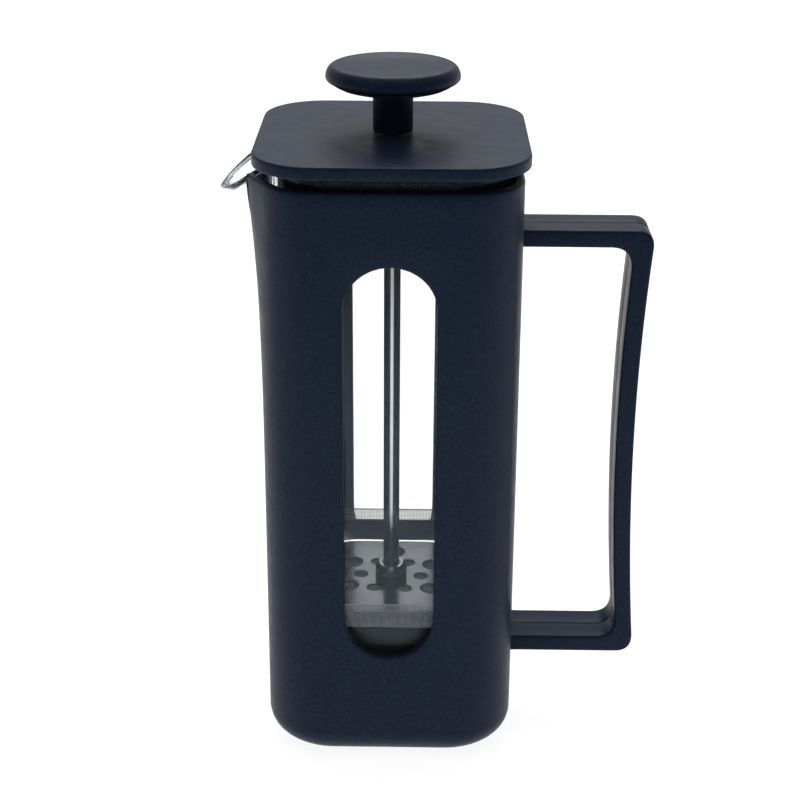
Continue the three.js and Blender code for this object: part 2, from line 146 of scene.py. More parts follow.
def place(obj, material, body, replaced=(), angle=35.0):
    """Links a new piece, gives it its material and body, and hides the CAD nodes it stands for."""
    bpy.context.scene.collection.objects.link(obj)
    obj.data.materials.append(MATERIALS[material])
    smooth(obj, angle)
    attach(obj, body)
    if replaced:
        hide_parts(*replaced)
    return obj


def shrunk(points, half, inset, z):
    """A square ring of the given half width, drawn in by the inset and set at a height."""
    share = (half - inset) / half
    return [(x * share, y * share, z) for x, y in points]


def smooth(obj, angle):
    """Smooth shading, with edges sharper than the angle left crisp."""
    obj.data.polygons.foreach_set("use_smooth", [True] * len(obj.data.polygons))
    obj.data.set_sharp_from_angle(angle=math.radians(angle))


def spread(low, high, steps):
    """Evenly spaced values from low to high, both included."""
    return [low + (high - low) * i / steps for i in range(steps + 1)]


def square_ring(half, corner, stops=(), left_stops=None, arc=10):
    """Points round a square with round corners, anticlockwise from the foot of the +X side.

    stops are places along each flat side; left_stops are for the -X side instead.
    """
    flat = half - corner
    points = []
    for quarter in range(4):
        here = left_stops if quarter == 2 and left_stops is not None else stops
        turn = quarter * math.pi / 2
        inner_stops = [v for v in here if abs(v) < flat - 0.01]
        side = [(half, s) for s in sorted({-flat, *inner_stops, flat})]
        bend = [
            (flat + corner * math.cos(a), flat + corner * math.sin(a))
            for a in spread(0, math.pi / 2, arc)[1:-1]
        ]
        along, aside = math.cos(turn), math.sin(turn)
        points += [(x * along - y * aside, x * aside + y * along) for x, y in side + bend]
    return points


def rounded_in(radius, distance):
    """How far a quarter-round edge draws in at a distance from its end."""
    return 0 if distance >= radius else radius - math.sqrt(radius**2 - (radius - distance) ** 2)


def clamp(value, low=0.0, high=1.0):
    return min(high, max(low, value))


def ease(value):
    value = clamp(value)
    return value * value * (3 - 2 * value)


def mix(a, b, share):
    return tuple(p + (q - p) * share for p, q in zip(a, b))


def turned(profile, name, material, body, replaced=(), sides=72, angle=35.0, middle=(0, 0)):
    """A solid of revolution about a vertical axis. The profile is a list of (radius, height)."""
    surface = Surface()
    rings = []
    for radius, height in profile:
        angles = spread(0, 2 * math.pi, sides)[:-1]
        rings.append(surface.ring(
            (middle[0] + radius * math.cos(a), middle[1] + radius * math.sin(a), height) for a in angles
        ))
    closed = profile[0][0] > 0.01 and profile[-1][0] > 0.01
    surface.bands(rings, closed_up=closed)
    return surface.object(name, material, body, replaced, angle)


def fillet(corner, start, end, radius, steps=4):
    """Points of a round that replaces a corner of a profile, between the directions of start and end."""
    corner, start, end = Vector(corner), Vector(start), Vector(end)
    a = corner + (start - corner).normalized() * radius
    b = corner + (end - corner).normalized() * radius
    return [tuple((1 - t) ** 2 * a + 2 * t * (1 - t) * corner + t * t * b) for t in spread(0, 1, steps)]


def rounded_profile(corners):
    """A profile whose corners carry a radius: [(radius from the axis, height, round), ...]."""
    points = []
    for i, (x, z, radius) in enumerate(corners):
        if radius and 0 < i < len(corners) - 1:
            points += fillet((x, z), corners[i - 1][:2], corners[i + 1][:2], radius)
        else:
            points.append((x, z))
    return points


# ------------------------------------------------------------------ materials

class Nodes:
    """A short way to write a node material."""

    def __init__(self, name):
        self.material = bpy.data.materials.new(name)
        self.material.use_nodes = True
        self.tree = self.material.node_tree
        self.shader = self.tree.nodes["Principled BSDF"]
        self.where = self.add("ShaderNodeTexCoord").outputs["Object"]

    def add(self, kind, **values):
        node = self.tree.nodes.new(kind)
        for key, value in values.items():
            setattr(node, key, value)
        return node

    def link(self, source, target):
        self.tree.links.new(source, target)

    def set(self, **values):
        for key, value in values.items():
            self.shader.inputs[key.replace("_", " ")].default_value = value

    def noise(self, scale, detail=3.0, roughness=0.5, stretch=(1, 1, 1)):
        mapping = self.add("ShaderNodeMapping")
        mapping.inputs["Scale"].default_value = stretch
        self.link(self.where, mapping.inputs["Vector"])
        noise = self.add("ShaderNodeTexNoise")
        noise.inputs["Scale"].default_value = scale
        noise.inputs["Detail"].default_value = detail
        noise.inputs["Roughness"].default_value = roughness
        self.link(mapping.outputs["Vector"], noise.inputs["Vector"])
        return noise.outputs["Fac"]

    def ramp(self, source, low, high, start=0.3, end=0.7):
        """A colour or value that runs from low to high as the source goes from start to end."""
        ramp = self.add("ShaderNodeValToRGB")
        ramp.color_ramp.elements[0].position = start
        ramp.color_ramp.elements[1].position = end
        for element, value in zip(ramp.color_ramp.elements, (low, high)):
            element.color = (*value, 1) if isinstance(value, tuple) else (value, value, value, 1)
        self.link(source, ramp.inputs["Fac"])
        return ramp.outputs["Color"]

    def bump(self, source, distance, strength=1.0, after=None):
        bump = self.add("ShaderNodeBump")
        bump.inputs["Strength"].default_value = strength
        bump.inputs["Distance"].default_value = distance
        self.link(source, bump.inputs["Height"])
        if after is not None:
            self.link(after, bump.inputs["Normal"])
        return bump.outputs["Normal"]


def navy_plastic():
    """Very dark navy moulded plastic with a fine satin grain."""
    n = Nodes("navy_plastic")
    n.set(Specular_IOR_Level=0.09, Sheen_Weight=0.02, Sheen_Roughness=0.4)
    tint = n.ramp(n.noise(900, 3, 0.7), (0.0044, 0.0112, 0.0280), (0.0108, 0.0214, 0.0475))
    n.link(tint, n.shader.inputs["Base Color"])
    n.link(n.ramp(n.noise(160, 5, 0.6), 0.34, 0.45), n.shader.inputs["Roughness"])
    grain = n.bump(n.noise(1600, 3, 0.7), 0.00006, 0.7)
    n.link(n.bump(n.noise(55, 3), 0.0004, 0.10, grain), n.shader.inputs["Normal"])
    return n.material


def clear_glass(name, through, painted_outline_shade):
    """Glass that lets the first colour through face on and the second at its outline; the second, darker
    colour is painted shade along the outline.
    """
    n = Nodes(name)
    n.set(Roughness=0.0, IOR=1.47, Transmission_Weight=0.982, Specular_Tint=(0.16, 0.24, 0.34, 1))
    edge = n.add("ShaderNodeLayerWeight")
    edge.inputs["Blend"].default_value = 0.5
    # painted shade: the base colour darkens from face on towards the outline, by the facing angle
    n.link(n.ramp(edge.outputs["Facing"], through, painted_outline_shade, 0.60, 0.92), n.shader.inputs["Base Color"])
    n.link(n.bump(n.noise(30, 2), 0.0006, 0.12), n.shader.inputs["Normal"])
    return n.material


def borosilicate_glass():
    """Clear glass with the very slight waviness of a blown and pressed wall, with painted shade darkening its
    outline.
    """
    return clear_glass("borosilicate_glass", (0.975, 0.985, 0.985), (0.42, 0.48, 0.55))


def painted_shade_rim_glass():
    """The fire-polished bead of the rim, tinted dark as painted shade: it stands in for the dark line that
    the rim shows, and is not a colour of the glass.
    """
    return clear_glass("painted_shade_rim_glass", (0.34, 0.37, 0.40), (0.005, 0.008, 0.012))


def pressed_steel():
    """Bright stainless sheet with faint rolling lines."""
    n = Nodes("pressed_steel")
    n.set(Metallic=1.0)
    tint = n.ramp(n.noise(90, 3), (0.27, 0.275, 0.28), (0.33, 0.335, 0.34))
    n.link(tint, n.shader.inputs["Base Color"])
    n.link(n.ramp(n.noise(240, 4, stretch=(1, 14, 14)), 0.16, 0.20), n.shader.inputs["Roughness"])
    n.link(n.bump(n.noise(900, 3, stretch=(1, 20, 20)), 0.00002, 0.15), n.shader.inputs["Normal"])
    return n.material


def turned_steel():
    """Ground and polished stainless bar, with fine lines round it."""
    n = Nodes("turned_steel")
    n.set(Metallic=1.0)
    n.link(n.ramp(n.noise(60, 3), (0.44, 0.45, 0.47), (0.52, 0.53, 0.55)), n.shader.inputs["Base Color"])
    n.link(n.ramp(n.noise(300, 4, stretch=(1, 1, 12)), 0.10, 0.20), n.shader.inputs["Roughness"])
    n.link(n.bump(n.noise(1200, 2, stretch=(1, 1, 16)), 0.00001, 0.4), n.shader.inputs["Normal"])
    return n.material


def woven_steel():
    """Drawn stainless wire, duller than the sheet."""
    n = Nodes("woven_steel")
    n.set(Metallic=1.0)
    n.link(n.ramp(n.noise(900, 2), (0.42, 0.43, 0.46), (0.58, 0.59, 0.62)), n.shader.inputs["Base Color"])
    n.link(n.ramp(n.noise(1500, 2), 0.28, 0.42), n.shader.inputs["Roughness"])
    return n.material


def screw_steel():
    """Zinc plated steel."""
    n = Nodes("screw_steel")
    n.set(Metallic=1.0)
    n.link(n.ramp(n.noise(400, 4), (0.42, 0.44, 0.47), (0.58, 0.59, 0.60)), n.shader.inputs["Base Color"])
    n.link(n.ramp(n.noise(700, 3), 0.30, 0.45), n.shader.inputs["Roughness"])
    return n.material


def brass():
    """Machined brass."""
    n = Nodes("brass")
    n.set(Metallic=1.0)
    n.link(n.ramp(n.noise(300, 4), (0.62, 0.42, 0.16), (0.74, 0.54, 0.25)), n.shader.inputs["Base Color"])
    n.link(n.ramp(n.noise(500, 3, stretch=(1, 1, 9)), 0.22, 0.36), n.shader.inputs["Roughness"])
    return n.material


def silicone():
    """Soft grey silicone."""
    n = Nodes("silicone")
    n.set(Specular_IOR_Level=0.4)
    n.link(n.ramp(n.noise(120, 3), (0.20, 0.23, 0.28), (0.26, 0.29, 0.34)), n.shader.inputs["Base Color"])
    n.link(n.ramp(n.noise(400, 3), 0.62, 0.75), n.shader.inputs["Roughness"])
    n.link(n.bump(n.noise(2500, 2), 0.00003, 0.5), n.shader.inputs["Normal"])
    return n.material


def nylon():
    """Moulded nylon, near black."""
    n = Nodes("nylon")
    tint = n.ramp(n.noise(200, 3), (0.022, 0.025, 0.032), (0.034, 0.037, 0.045))
    n.link(tint, n.shader.inputs["Base Color"])
    n.link(n.ramp(n.noise(600, 3), 0.45, 0.6), n.shader.inputs["Roughness"])
    n.link(n.bump(n.noise(3000, 2), 0.00003, 0.5), n.shader.inputs["Normal"])
    return n.material


MATERIALS = {
    make.__name__: make()
    for make in (navy_plastic, borosilicate_glass, painted_shade_rim_glass, pressed_steel, turned_steel, woven_steel,
                 screw_steel, brass, silicone, nylon)
}


# ------------------------------------------------------------------ holder

def holder_half(z):
    return HOLDER_HALF + DRAFT * (1 - z / RIM)


def flare(y, z):
    """How far the -X wall leans out at a place, to make room for the glass lip."""
    across = 1 - ease((abs(y) - FLARE_FULL) / (FLARE_END - FLARE_FULL))
    up = clamp((z - FLARE_START) / (RIM - FLARE_START))
    return FLARE_OUT * across * up**FLARE_POWER


def notch_height(y):
    """The height of the rim across the -X wall, which dips in a U under the lip."""
    side = abs(y) / NOTCH_HALF
    if side >= 1:
        return RIM
    return NOTCH_BOTTOM + (RIM - NOTCH_BOTTOM) * (1 - math.sqrt(1 - side**5.0)) ** 0.9


class Holder:
    """Builds the holder's two skins on one set of columns, with a block left open for each window."""

    BLOCK_HALF = 19.0
    LEVEL_TOP = 148.0  # above this the rows bend to follow the rim's notch
    LOW_ROWS = [20.0, 30.0, 36.0, 41.0, 46.0, 50.0, 56.0, 72.0, 88.0, 104.0, 120.0, 136.0, LEVEL_TOP]
    SHARES = [0.10, 0.20, 0.30, 0.40, 0.50, 0.59, 0.68, 0.76, 0.84, 0.91]  # of the height above that
    BLOCK_LOW, BLOCK_HIGH = 1, 19  # the rows, counted from 20 mm, between which a window's block lies

    def __init__(self):
        stops = [-self.BLOCK_HALF, -15, -10, -5, 0, 5, 10, 15, self.BLOCK_HALF]
        edge = [NOTCH_HALF * s for s in (0.25, 0.5, 0.68, 0.8, 0.88, 0.94, 0.975, 0.995)]
        left = sorted({0, 18.3, 19.2, -18.3, -19.2, *edge, *[-e for e in edge]})
        self.outer = square_ring(HOLDER_HALF, HOLDER_CORNER, stops, left)
        self.inner = square_ring(HOLDER_HALF - HOLDER_WALL, HOLDER_CORNER - HOLDER_WALL, stops, left)
        self.rims = [notch_height(y) if x < 0 and abs(y) < 20.5 else RIM for x, y in self.outer]
        self.surface = Surface()

    def at(self, column, z, inset=0.0):
        """A point of the wall, inset from its outer skin."""
        (xo, yo), (xi, yi) = self.outer[column], self.inner[column]
        share = inset / HOLDER_WALL
        lean = flare(yo, z) if xo < 0 else 0
        out = holder_half(z) / HOLDER_HALF
        within = (holder_half(z) - HOLDER_WALL) / (HOLDER_HALF - HOLDER_WALL)
        return mix(((xo - lean) * out, yo * out, z), ((xi - lean) * within, yi * within, z), share)

    def rows(self, inset):
        """The rings of one skin, from the 20 mm row up to just under the rim's round."""
        rings = [[self.at(c, z, inset) for c in range(len(self.outer))] for z in self.LOW_ROWS]
        for share in self.SHARES:
            rings.append([
                self.at(c, self.LEVEL_TOP + (rim - self.LEVEL_TOP) * share, inset)
                for c, rim in enumerate(self.rims)
            ])
        return [self.surface.ring(ring) for ring in rings]

    def skin(self, rings):
        """Fills a skin and returns the border of each window's block."""
        borders = []
        blocks = [self.block(-1), self.block(1)]
        for row, (a, b) in enumerate(zip(rings, rings[1:])):
            inside = self.BLOCK_LOW <= row < self.BLOCK_HIGH
            skip = [c for block in blocks for c in block[:-1]] if inside else ()
            self.surface.band(a, b, skip=skip)
        for block in blocks:
            low, high = rings[self.BLOCK_LOW], rings[self.BLOCK_HIGH]
            sides = rings[self.BLOCK_LOW + 1:self.BLOCK_HIGH]
            border = [low[c] for c in block]
            border += [ring[block[-1]] for ring in sides]
            border += [high[c] for c in reversed(block)]
            border += [ring[block[0]] for ring in reversed(sides)]
            borders.append(border)
        return borders

    def block(self, side):
        """The columns of the window's block on the -Y or +Y wall, in order round the holder."""
        wall = side * HOLDER_HALF
        return [c for c, (x, y) in enumerate(self.outer)
                if abs(y - wall) < 0.01 and abs(x) <= self.BLOCK_HALF + 0.01]

    def window_ring(self, border, side, beyond, inset):
        """A ring round a window, as far beyond its edge and as deep in the wall as asked."""
        ring = []
        for index in border:
            x, _, z = self.surface.points[index]
            middle = clamp(z, WINDOW_BOTTOM + WINDOW_HALF, WINDOW_TOP - WINDOW_HALF)
            away = Vector((x, z - middle)).normalized() * (WINDOW_HALF + beyond)
            height = middle + away.y
            ring.append((away.x, side * (holder_half(height) - inset), height))
        return self.surface.ring(ring)

    def window(self, outer_border, inner_border, side, outer_round=0.9, inner_round=0.5):
        """The edge of a window: rounds on both faces and the flat between them."""
        quarter = spread(0, math.pi / 2, 4)
        rings = [outer_border]
        rings += [
            self.window_ring(outer_border, side, outer_round * (1 - math.sin(a)),
                             outer_round * (1 - math.cos(a)))
            for a in quarter
        ]
        rings += [
            self.window_ring(outer_border, side, inner_round * (1 - math.cos(a)),
                             HOLDER_WALL - inner_round * (1 - math.sin(a)))
            for a in quarter
        ]
        rings.append(inner_border)
        self.surface.bands(rings)

    def rim_ring(self, depth, inset):
        """A ring near the rim, depth below it and inset from the outer skin, square to the rim's own line."""
        ring = []
        count = len(self.outer)
        for c in range(count):
            point = Vector(self.at(c, self.rims[c], inset))
            before, after = (c - 1) % count, (c + 1) % count
            if abs(self.rims[after] - self.rims[before]) < 0.05:  # level here
                ring.append(self.at(c, self.rims[c] - depth, inset))
                continue
            start, end = (Vector(self.at(near, self.rims[near], inset)) for near in (before, after))
            along = end - start
            down = Vector((0, -along.z, along.y)).normalized()
            down *= 1 if down.z < 0 else -1
            ring.append(tuple(point + down * depth))
        return self.surface.ring(ring)

    def rim(self, outer_round=1.0, inner_round=0.7):
        quarter = spread(0, math.pi / 2, 4)
        rings = [
            self.rim_ring(outer_round * (1 - math.sin(a)), outer_round * (1 - math.cos(a)))
            for a in quarter
        ]
        rings += [
            self.rim_ring(inner_round * (1 - math.cos(a)), HOLDER_WALL - inner_round * (1 - math.sin(a)))
            for a in quarter
        ]
        return rings

    def foot(self):
        """Rings from the flat pad under the holder out to the upright wall, ending below the 20 mm row."""
        flat = HOLDER_HALF + DRAFT - FOOT_FILLET
        halves = [(GROOVE_IN - GROOVE_EDGE, 0), (GROOVE_IN, 0.15), (GROOVE_IN + GROOVE_EDGE, GROOVE_DEPTH)]
        halves += [(GROOVE_OUT - GROOVE_EDGE, GROOVE_DEPTH), (GROOVE_OUT, 0.15)]
        halves += [(GROOVE_OUT + GROOVE_EDGE, 0), (flat, 0)]
        halves += [(flat + FOOT_FILLET * math.sin(a), FOOT_FILLET * (1 - math.cos(a)))
                   for a in spread(0, math.pi / 2, 12)[1:]]
        rings = []
        for half, z in halves:
            scale = (half - DRAFT * z / RIM if z > 1 else half) / HOLDER_HALF
            rings.append(self.surface.ring((x * scale, y * scale, z) for x, y in self.outer))
        self.surface.cap(rings[0])
        return rings

    def floor(self):
        """Rings from the holder's floor out and up to the inner wall."""
        half = HOLDER_HALF - HOLDER_WALL
        fillet_within = FOOT_FILLET - HOLDER_WALL
        rings = []
        for a in spread(0, math.pi / 2, 8):
            z = HOLDER_FLOOR + fillet_within * (1 - math.cos(a))
            scale = (holder_half(z) - HOLDER_WALL - fillet_within * (1 - math.sin(a))) / half
            rings.append(self.surface.ring((x * scale, y * scale, z) for x, y in self.inner))
        self.surface.cap(rings[0])
        return rings

    def build(self):
        outer, inner = self.rows(0), self.rows(HOLDER_WALL)
        outer_borders, inner_borders = self.skin(outer), self.skin(inner)
        for side, a, b in zip((-1, 1), outer_borders, inner_borders):
            self.window(a, b, side)
        self.surface.bands([*self.foot(), outer[0]])
        self.surface.bands([*self.floor(), inner[0]])
        self.surface.bands([outer[-1], *self.rim(), inner[-1]])
        return self.surface.object("holder_body", "navy_plastic", "holder", ["holder_shell"], angle=50)


# ------------------------------------------------------------------ handle

UPPER_ARM, LOWER_ARM = 5.4, 5.7  # thickness of the two arms
HANDLE_BURY = 0.15  # how far the arms' ends go into the holder's wall
# The grip's two sides, as (X, Z): the top, the point that the curve leans to, and the bottom.
OUTER_TOP, OUTER_PULL, OUTER_BOTTOM = (79.0, 164.8), (74.0, 100.0), (80.5, 28.9)
INNER_TOP, INNER_PULL, INNER_BOTTOM = (72.6, 157.5), (68.9, 97.0), (74.5, 35.5)
OUTER_BEND, INNER_BEND = 5.4, 6.4  # how far from the strap's end each bend begins
OUTER_LEAN, INNER_LEAN = 0.2, 0.3  # how far the lower bends lean out past the grip's ends
# The mould seam across the middle of the strap: (place across, how far it is drawn in).
SEAM = [(-0.42, 0), (-0.3, 0.04), (-0.12, 0.2), (0.12, 0.2), (0.3, 0.04), (0.42, 0)]


def quadratic(a, pull, b, steps):
    """Points along a curve from a to b that leans towards pull, without b."""
    return [
        ((1 - t) ** 2 * a[0] + 2 * t * (1 - t) * pull[0] + t * t * b[0],
         (1 - t) ** 2 * a[1] + 2 * t * (1 - t) * pull[1] + t * t * b[1])
        for t in spread(0, 1, steps)[:-1]
    ]


def handle_outline():
    """The strap seen from the front: X and Z, clockwise, from the top of the upper arm at the wall."""
    upper_low, upper_high = HANDLE_HIGH.z - UPPER_ARM, HANDLE_HIGH.z
    lower_low, lower_high = HANDLE_LOW.z, HANDLE_LOW.z + LOWER_ARM
    root_up, root_down = (holder_half(z) - HANDLE_BURY for z in (167, 26))
    bend_up, bend_down = OUTER_TOP[0] - OUTER_BEND, OUTER_BOTTOM[0] - OUTER_BEND
    inner_up, inner_down = INNER_TOP[0] - INNER_BEND, INNER_BOTTOM[0] - INNER_BEND
    points = [(x, upper_high) for x in spread(root_up, bend_up, 8)[:-1]]
    points += quadratic((bend_up, upper_high), (OUTER_TOP[0], upper_high), OUTER_TOP, 8)
    points += quadratic(OUTER_TOP, OUTER_PULL, OUTER_BOTTOM, 22)
    points += quadratic(OUTER_BOTTOM, (OUTER_BOTTOM[0] + OUTER_LEAN, lower_low), (bend_down, lower_low), 8)
    points += [(x, lower_low) for x in spread(bend_down, root_down, 8)]
    points += [(x, lower_high) for x in spread(root_down, inner_down, 8)[:-1]]
    points += quadratic((inner_down, lower_high), (INNER_BOTTOM[0] + INNER_LEAN, lower_high), INNER_BOTTOM, 8)
    points += quadratic(INNER_BOTTOM, INNER_PULL, INNER_TOP, 22)
    points += quadratic(INNER_TOP, (INNER_TOP[0], upper_low), (inner_up, upper_low), 8)
    points += [(x, upper_low) for x in spread(inner_up, root_up, 8)]
    return points


def drawn_in(outline, distance):
    """The outline moved inwards; it runs clockwise."""
    moved = []
    count = len(outline)
    for i, (x, z) in enumerate(outline):
        before, after = outline[i - 1], outline[(i + 1) % count]
        along = Vector((after[0] - before[0], after[1] - before[1])).normalized()
        moved.append((x + along.y * distance, z - along.x * distance))
    return moved


def handle():
    """The flat strap with rounded edges and a seam along its middle."""
    outline = handle_outline()
    half = HANDLE_HIGH.y
    edge = 0.9
    steps = [(-half + edge * (1 - math.sin(a)), edge * (1 - math.cos(a))) for a in spread(math.pi / 2, 0, 5)]
    profile = steps + SEAM + [(-y, draw) for y, draw in reversed(steps)]
    surface = Surface()
    rings = [surface.ring((x, y, z) for x, z in drawn_in(outline, draw)) for y, draw in profile]
    surface.cap(rings[0])
    surface.bands(rings)
    surface.cap(rings[-1])
    surface.object("handle_strap", "navy_plastic", "holder", ["handle"], angle=40)


# ------------------------------------------------------------------ glass beaker

def lip_across(y, half):
    """How far the wall is drawn out across the pinched lip, from 0 at its side to 1 in the middle."""
    side = min(1.0, abs(y) / half)
    return (1 - side**LIP_SPREAD) ** LIP_FULLNESS


class Beaker:
    """The glass jug: outer and inner skins on one set of columns, joined by a round rim with its bead.

    A skin is named by its inset from the outside: 0 or GLASS_WALL.
    """

    LOWS = {0: GLASS_LOW.z, GLASS_WALL: GLASS_LOW.z + GLASS_BASE}
    # The columns across half the lip, as shares of its half width.
    COLUMNS = (0.12, 0.25, 0.38, 0.5, 0.61, 0.7, 0.78, 0.85, 0.9, 0.94, 0.97, 0.985)
    REACH_INSET, DROP_INSET = 0.6, 0.5  # the inner skin is drawn out less, by these shares of the wall
    RISE = 0.9  # height of the rim's round

    def __init__(self):
        self.columns = {}
        for inset in self.LOWS:
            places = [share * (LIP_HALF - inset) for share in self.COLUMNS]
            left = sorted({0, *places, *[-p for p in places]})
            self.columns[inset] = square_ring(GLASS_HALF - inset, GLASS_CORNER - inset, (-8, 0, 8), left, 14)

    def at(self, column, z, inset):
        """A point of one skin."""
        half = GLASS_HALF - inset
        x, y = self.columns[inset][column]
        scale = (half - rounded_in(GLASS_FOOT - inset, z - self.LOWS[inset])) / half
        up = clamp((z - LIP_START) / (GLASS_HIGH.z - LIP_START))
        drawn = lip_across(y, LIP_HALF - inset) * up**2 if x < -half / 2 else 0
        reach, drop = LIP_REACH - inset * self.REACH_INSET, LIP_DROP - inset * self.DROP_INSET
        return Vector((x * scale - drawn * reach, y * scale, z - drawn * drop))

    def skin(self, surface, inset):
        """Fills one skin and returns its top ring."""
        foot = GLASS_FOOT - inset
        heights = [self.LOWS[inset] + foot * (1 - math.cos(a)) for a in spread(0, math.pi / 2, 7)]
        heights += [40, 80, 120, 150] + spread(LIP_START, GLASS_HIGH.z - self.RISE, 16)
        count = len(self.columns[inset])
        rings = [surface.ring(self.at(c, z, inset) for c in range(count)) for z in heights]
        surface.cap(rings[0])
        surface.bands(rings)
        return rings[-1]

    def rim_places(self, outer, inner):
        """For each column, the wall's two edges under the rim and the direction up out of it."""
        places = []
        for c, (o, i) in enumerate(zip(outer, inner)):
            start, end = Vector(o), Vector(i)
            top = (self.at(c, GLASS_HIGH.z, 0) + self.at(c, GLASS_HIGH.z, GLASS_WALL)) / 2
            places.append((start, end, (top - (start + end) / 2).normalized()))
        return places

    def build(self):
        surface = Surface()
        outer, inner = self.skin(surface, 0), self.skin(surface, GLASS_WALL)
        rim = self.rim_places([surface.points[o] for o in outer], [surface.points[i] for i in inner])
        rings = [outer]
        for a in spread(0, math.pi, 8)[1:-1]:
            rings.append(surface.ring(
                start.lerp(end, (1 - math.cos(a)) / 2) + upward * self.RISE * math.sin(a)
                for start, end, upward in rim
            ))
        rings.append(inner)
        surface.bands(rings)
        surface.object("beaker_glass", "borosilicate_glass", "beaker", ["glass_beaker"], angle=60)
        self.bead(rim)

    def bead(self, rim, radius=0.9, lift=0.3):
        """The round bead along the top of the wall."""
        surface = Surface()
        rings = []
        for a in spread(0, 2 * math.pi, 14)[:-1]:
            rings.append(surface.ring(
                (start + end) / 2 + upward * (lift + radius * math.sin(a))
                + (end - start).normalized() * radius * math.cos(a)
                for start, end, upward in rim
            ))
        surface.bands(rings, closed_up=True)
        # the bead's glass is painted shade: tinted dark to draw the rim's dark line
        surface.object("beaker_bead", "painted_shade_rim_glass", "beaker", ["glass_beaker"], angle=60)


# ------------------------------------------------------------------ lid and knob

LID_BOSS, LID_BORE = 7.0, 4.3  # radii of the boss and of the hole for the bushing
LID_POST, LID_POST_BORE, LID_POST_AT = 3.5, 1.8, 19.0  # radii of a screw's post, and its place


def lid():
    """The cover plate with a barely crowned top, a boss with the bushing's hole, and the screws' posts."""
    surface = Surface()
    half = LID_HIGH.x
    top, under, low = LID_HIGH.z, LID_UNDER, LID_LOW.z
    crown = 0.2  # how much lower the top is at its edge
    upper_edge, lower_edge = 0.75, 0.8
    base = square_ring(half, LID_CORNER, (-14, -7, 0, 7, 14), arc=14)

    def inward(inset, z):
        return surface.ring(shrunk(base, half, inset, z))

    def circle(radius, z):
        return surface.ring((*(Vector(p).normalized() * radius), z) for p in base)

    quarter = spread(0, math.pi / 2, 5)
    rings = [inward(upper_edge * (1 - math.cos(a)), top - crown - upper_edge * (1 - math.sin(a)))
             for a in quarter]
    rings += [inward(1.1, top - 0.19), inward(3, top - 0.16), inward(9, top - 0.06), inward(18, top)]
    rings += [circle(14, top), circle(7, top)]
    rings += [circle(LID_BORE + 0.4, top), circle(LID_BORE, top - 0.4), circle(LID_BORE, low)]
    rings += [circle(LID_BOSS - 0.4, low), circle(LID_BOSS, low + 0.4), circle(LID_BOSS, under - 0.6)]
    rings += [circle(LID_BOSS + 0.6, under), inward(12, under), inward(4, under)]
    rings += [inward(lower_edge * (1 - math.sin(a)), under + lower_edge * (1 - math.cos(a))) for a in quarter]
    surface.bands(rings, closed_up=True)
    surface.object("lid_plate", "navy_plastic", "lid", ["lid_cover"], angle=50)
    post = [(LID_POST_BORE, low), (LID_POST - 0.2, low), (LID_POST, low + 0.2), (LID_POST, under + 0.5),
            (LID_POST_BORE, under + 0.5)]
    for side, y in (("front", -LID_POST_AT), ("back", LID_POST_AT)):
        turned(post, f"lid_boss_{side}", "navy_plastic", "lid", middle=(0, y), sides=32)


def knob():
    """The push knob: a dished cap over a body with the stem, with a fine seam between them."""
    radius, seam, top = CAP_HIGH.x, CAP_LOW.z, CAP_HIGH.z
    widest = seam + 1.4  # the height at which the rim is widest
    profile = [(0, seam), (radius - 2.2, seam), (radius - 1.75, seam + 0.08)]
    profile += [(radius - 1.5 + 1.5 * math.sin(a), widest - 1.3 * math.cos(a)) for a in spread(0.25, 1.5, 6)]
    profile += [(radius - 2.7 + 2.7 * math.cos(a), widest + (top - widest) * math.sin(a))
                for a in spread(0.05, math.pi / 2, 10)]
    profile += [(radius - 3.3, top - 0.08), (radius - 4.2, top - 0.34), (radius - 5.6, top - 0.72),
                (radius - 8, top - 1.05), (radius - 12, top - 1.3), (0, top - 1.45)]
    turned(profile, "knob_top", "navy_plastic", "rod", ["knob_cap"], sides=112, angle=50)

    stem, under, low = 6.0, KNOB_UNDER, KNOB_LOW.z
    bore, bore_top = 4.3, INSERT_HIGH.z + GAP
    rim = KNOB_HIGH.x
    profile = [(0, bore_top), (bore, bore_top), (bore, low), (stem - 0.6, low), (stem - 0.15, low + 0.15),
               (stem, low + 0.6), (stem, under - 1.4), (stem + 0.15, under - 0.7), (stem + 0.6, under - 0.2)]
    profile += [(stem + 1.6, under), (11, under + 0.3), (14, under + 0.72), (16, under + 1.3),
                (17.4, under + 2.0)]
    profile += [(rim, KNOB_HIGH.z - 0.15), (rim - 0.2, KNOB_HIGH.z), (0, KNOB_HIGH.z)]
    turned(profile, "knob_stem", "navy_plastic", "rod", ["knob_body"], sides=96, angle=50)


def rod():
    """The plunger's rod, with chamfered ends."""
    radius = ROD_HIGH.x
    low, high = ROD_LOW.z, ROD_HIGH.z
    chamfer = 0.5
    profile = [(0, low), (radius - chamfer, low), (radius, low + chamfer)]
    profile += [(radius, z) for z in spread(60, 200, 4)]
    profile += [(radius, high - chamfer), (radius - chamfer, high), (0, high)]
    turned(profile, "rod_bar", "turned_steel", "rod", ["plunger_rod"], sides=64)


# ------------------------------------------------------------------ filter

HOLE_TURN = -3.0  # degrees that the whole pattern is turned
HUB_HOLE = 2.8
INNER_HOLES = (10.0, 2.4, 0.0)  # ring radius, hole radius, angle of the first hole
OUTER_HOLES = (15.8, 3.6, 30.0)
PLAIN_PLACE = 267.0  # the place in the outer ring, nearest the front, that has no hole


def hole_places():
    """(x, y, radius) of the two rings of holes and the one for the stud."""
    places = [(0.0, 0.0, HUB_HOLE)]
    for ring, radius, start in (INNER_HOLES, OUTER_HOLES):
        for turn in range(0, 360, 60):
            angle = start + HOLE_TURN + turn
            if angle != PLAIN_PLACE or ring == INNER_HOLES[0]:
                angle = math.radians(angle)
                places.append((ring * math.cos(angle), ring * math.sin(angle), radius))
    return places


